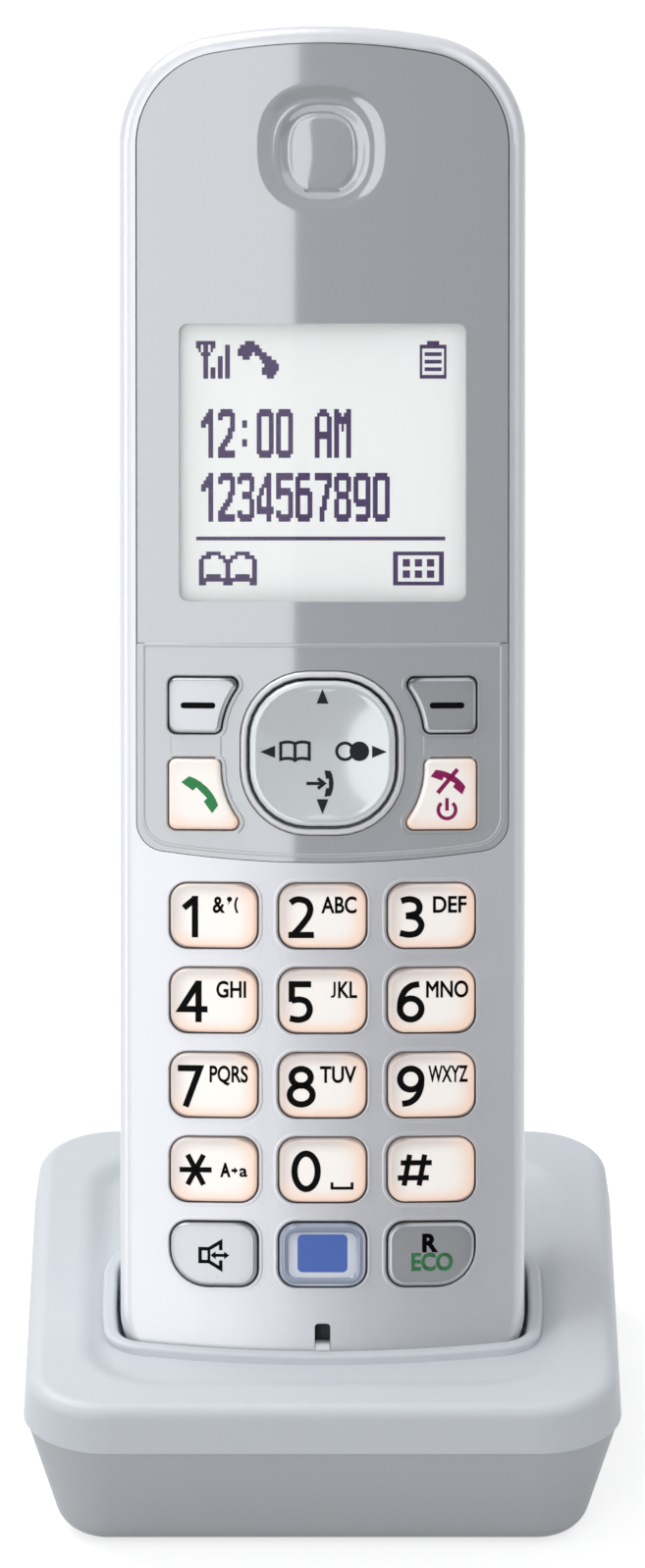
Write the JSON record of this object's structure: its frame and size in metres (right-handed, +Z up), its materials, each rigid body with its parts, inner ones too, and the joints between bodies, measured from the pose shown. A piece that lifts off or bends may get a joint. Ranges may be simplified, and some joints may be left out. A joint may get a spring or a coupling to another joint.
{
  "type": "cordless phone with base",
  "caption": "Slim silver cordless phone handset with a display, four-way key and lit keypad, leaning back in the well of a low square charging base.",
  "frame": {"origin": "middle of the base's underside, on the surface that it stands on", "axes": "+Z up, -Y to the front of the phone, +X to the right as the user sees it"},
  "size_m": [0.0706, 0.0957, 0.1645],
  "materials": {
    "silver_case": "fine metallic silver paint on moulded plastic",
    "gloss_panel": "high gloss silver",
    "clear_window": "clear polished plastic",
    "lcd": "lit white display",
    "holder": "white moulded",
    "trim": "bright trim",
    "nav_silver": "gloss silver",
    "key_white": "translucent white, lit warm at the edges",
    "key_silver": "satin silver",
    "key_clear_blue": "clear pale blue",
    "silicone": "matte silicone",
    "gimbal": "plain moulded",
    "board": "solder mask green",
    "tin": "tinned sheet",
    "sound_parts": "black and steel",
    "cells": "sleeved cell",
    "contacts": "plated spring metal",
    "screws": "zinc plated",
    "base_light": "fine matte light silver",
    "base_dark": "fine matte grey",
    "black_plastic": "black moulded",
    "feet": "matte rubber"
  },
  "bodies": {
    "base": {"base_cover": "base_light", "base_bottom": "base_dark", "base_board": "board", "dc_jack": "black_plastic", "charge_pin_barrels": "black_plastic", "base_feet": "feet", "base_screws": "screws", "pin_spring_left": "tin", "pin_spring_right": "tin"},
    "handset": {"front_case": "silver_case", "display_panel": "gloss_panel", "key_panel": "gloss_panel", "display_window": "clear_window", "lcd_glass": "lcd", "lcd_holder": "holder", "nav_ring": "trim", "keypad_mat": "silicone", "main_board": "board", "board_shield": "tin", "antenna": "tin", "receiver_gasket": "silicone", "earpiece_receiver": "sound_parts", "loudspeaker": "sound_parts", "microphone": "sound_parts", "microphone_boot": "silicone", "rear_case": "silver_case", "battery_left": "cells", "battery_right": "cells", "battery_contacts": "contacts", "handset_charge_contacts": "contacts", "case_screws": "screws"},
    "key_star": {"key_star": "key_white"},
    "key_0": {"key_0": "key_white"},
    "key_hash": {"key_hash": "key_white"},
    "key_7": {"key_7": "key_white"},
    "key_8": {"key_8": "key_white"},
    "key_9": {"key_9": "key_white"},
    "key_4": {"key_4": "key_white"},
    "key_5": {"key_5": "key_white"},
    "key_6": {"key_6": "key_white"},
    "key_1": {"key_1": "key_white"},
    "key_2": {"key_2": "key_white"},
    "key_3": {"key_3": "key_white"},
    "soft_key_left": {"soft_key_left": "key_silver"},
    "talk_key": {"talk_key": "key_white"},
    "speaker_key": {"speaker_key": "key_silver"},
    "soft_key_right": {"soft_key_right": "key_silver"},
    "off_key": {"off_key": "key_white"},
    "recall_key": {"recall_key": "key_silver"},
    "function_key": {"function_key": "key_clear_blue"},
    "nav_rocker": {"nav_rocker": "gimbal"},
    "nav_key": {"nav_key": "nav_silver"},
    "battery_cover": {"battery_cover": "silver_case"},
    "charge_pin_left": {"charge_pin_left": "contacts"},
    "charge_pin_right": {"charge_pin_right": "contacts"}
  },
  "joints": [
    {"name": "handset_lift", "type": "slide", "parent": "base", "child": "handset", "axis": [0, 0.3746, 0.9272], "range_m": [0, 0.06]},
    {"name": "key_star_press", "type": "slide", "parent": "handset", "child": "key_star", "axis": [0, 0.9272, -0.3746], "range_m": [0, 0.0008], "stiffness_N_per_m": 300, "springref_m": -0.001},
    {"name": "key_0_press", "type": "slide", "parent": "handset", "child": "key_0", "axis": [0, 0.9272, -0.3746], "range_m": [0, 0.0008], "stiffness_N_per_m": 300, "springref_m": -0.001},
    {"name": "key_hash_press", "type": "slide", "parent": "handset", "child": "key_hash", "axis": [0, 0.9272, -0.3746], "range_m": [0, 0.0008], "stiffness_N_per_m": 300, "springref_m": -0.001},
    {"name": "key_7_press", "type": "slide", "parent": "handset", "child": "key_7", "axis": [0, 0.9272, -0.3746], "range_m": [0, 0.0008], "stiffness_N_per_m": 300, "springref_m": -0.001},
    {"name": "key_8_press", "type": "slide", "parent": "handset", "child": "key_8", "axis": [0, 0.9272, -0.3746], "range_m": [0, 0.0008], "stiffness_N_per_m": 300, "springref_m": -0.001},
    {"name": "key_9_press", "type": "slide", "parent": "handset", "child": "key_9", "axis": [0, 0.9272, -0.3746], "range_m": [0, 0.0008], "stiffness_N_per_m": 300, "springref_m": -0.001},
    {"name": "key_4_press", "type": "slide", "parent": "handset", "child": "key_4", "axis": [0, 0.9272, -0.3746], "range_m": [0, 0.0008], "stiffness_N_per_m": 300, "springref_m": -0.001},
    {"name": "key_5_press", "type": "slide", "parent": "handset", "child": "key_5", "axis": [0, 0.9272, -0.3746], "range_m": [0, 0.0008], "stiffness_N_per_m": 300, "springref_m": -0.001},
    {"name": "key_6_press", "type": "slide", "parent": "handset", "child": "key_6", "axis": [0, 0.9272, -0.3746], "range_m": [0, 0.0008], "stiffness_N_per_m": 300, "springref_m": -0.001},
    {"name": "key_1_press", "type": "slide", "parent": "handset", "child": "key_1", "axis": [0, 0.9272, -0.3746], "range_m": [0, 0.0008], "stiffness_N_per_m": 300, "springref_m": -0.001},
    {"name": "key_2_press", "type": "slide", "parent": "handset", "child": "key_2", "axis": [0, 0.9272, -0.3746], "range_m": [0, 0.0008], "stiffness_N_per_m": 300, "springref_m": -0.001},
    {"name": "key_3_press", "type": "slide", "parent": "handset", "child": "key_3", "axis": [0, 0.9272, -0.3746], "range_m": [0, 0.0008], "stiffness_N_per_m": 300, "springref_m": -0.001},
    {"name": "soft_key_left_press", "type": "slide", "parent": "handset", "child": "soft_key_left", "axis": [0, 0.9272, -0.3746], "range_m": [0, 0.0008], "stiffness_N_per_m": 300, "springref_m": -0.001},
    {"name": "talk_key_press", "type": "slide", "parent": "handset", "child": "talk_key", "axis": [0, 0.9272, -0.3746], "range_m": [0, 0.0008], "stiffness_N_per_m": 300, "springref_m": -0.001},
    {"name": "speaker_key_press", "type": "slide", "parent": "handset", "child": "speaker_key", "axis": [0, 0.9272, -0.3746], "range_m": [0, 0.0008], "stiffness_N_per_m": 300, "springref_m": -0.001},
    {"name": "soft_key_right_press", "type": "slide", "parent": "handset", "child": "soft_key_right", "axis": [0, 0.9272, -0.3746], "range_m": [0, 0.0008], "stiffness_N_per_m": 300, "springref_m": -0.001},
    {"name": "off_key_press", "type": "slide", "parent": "handset", "child": "off_key", "axis": [0, 0.9272, -0.3746], "range_m": [0, 0.0008], "stiffness_N_per_m": 300, "springref_m": -0.001},
    {"name": "recall_key_press", "type": "slide", "parent": "handset", "child": "recall_key", "axis": [0, 0.9272, -0.3746], "range_m": [0, 0.0008], "stiffness_N_per_m": 300, "springref_m": -0.001},
    {"name": "function_key_press", "type": "slide", "parent": "handset", "child": "function_key", "axis": [0, 0.9272, -0.3746], "range_m": [0, 0.0008], "stiffness_N_per_m": 300, "springref_m": -0.001},
    {"name": "nav_up_down", "type": "hinge", "parent": "handset", "child": "nav_rocker", "pos_m": [0, 0.00979, 0.08412], "axis": [1, 0, 0], "range_deg": [-3.5, 3.5], "stiffness_Nm_per_rad": 0.02},
    {"name": "nav_left_right", "type": "hinge", "parent": "nav_rocker", "child": "nav_key", "pos_m": [0, 0.00979, 0.08412], "axis": [0, 0.3746, 0.9272], "range_deg": [-3.5, 3.5], "stiffness_Nm_per_rad": 0.02},
    {"name": "battery_cover_slide", "type": "slide", "parent": "handset", "child": "battery_cover", "axis": [0, -0.3746, -0.9272], "range_m": [0, 0.008]},
    {"name": "charge_pin_left_press", "type": "slide", "parent": "base", "child": "charge_pin_left", "axis": [0, 0, -1], "range_m": [0, 0.0007], "stiffness_N_per_m": 200, "springref_m": -0.0005, "deforming": ["pin_spring_left"]},
    {"name": "charge_pin_right_press", "type": "slide", "parent": "base", "child": "charge_pin_right", "axis": [0, 0, -1], "range_m": [0, 0.0007], "stiffness_N_per_m": 200, "springref_m": -0.0005, "deforming": ["pin_spring_right"]}
  ]
}
